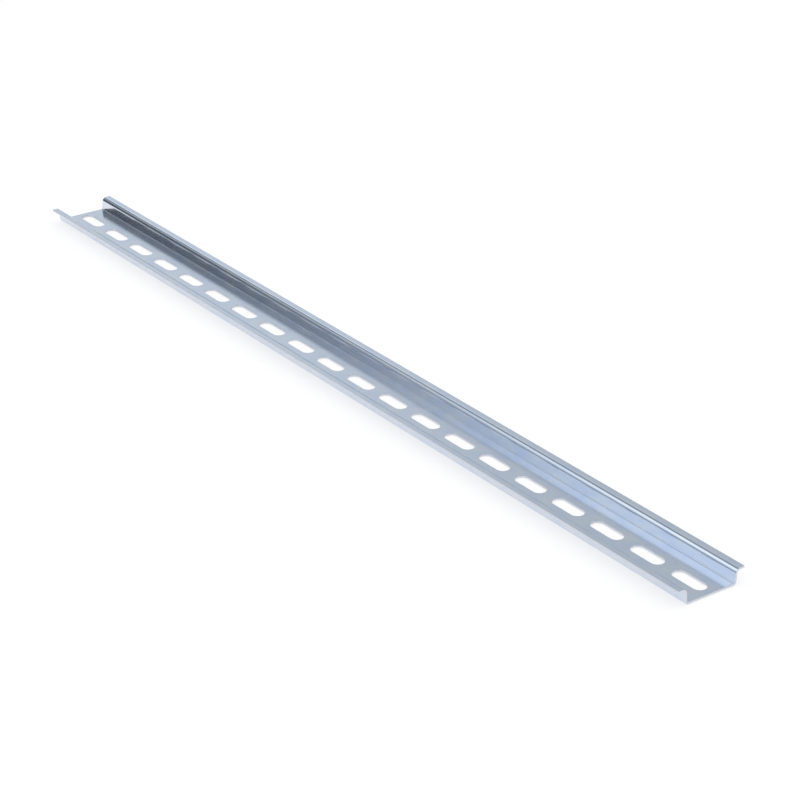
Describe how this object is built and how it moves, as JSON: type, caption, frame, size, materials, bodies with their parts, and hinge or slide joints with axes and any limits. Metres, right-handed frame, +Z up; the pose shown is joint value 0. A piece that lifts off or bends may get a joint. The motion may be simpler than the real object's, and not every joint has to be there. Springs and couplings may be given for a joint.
{
  "type": "din rail",
  "caption": "Top-hat section mounting rail in zinc-plated steel, with two outward flanges and a row of round-ended slots along its web.",
  "frame": {"origin": "middle of the rail's length and width, on the underside of the web, which is the lowest face", "axes": "+X along the rail, +Y across it from one flange to the other, +Z up from the web's underside to the flanges"},
  "size_m": [0.5, 0.035, 0.0075],
  "materials": {
    "zinc_plated_steel": "bright zinc plate with a clear blue passivate over cold-rolled strip, satin, with fine roll lines along the length"
  },
  "bodies": {
    "root": {"rail": "zinc_plated_steel"}
  },
  "joints": []
}
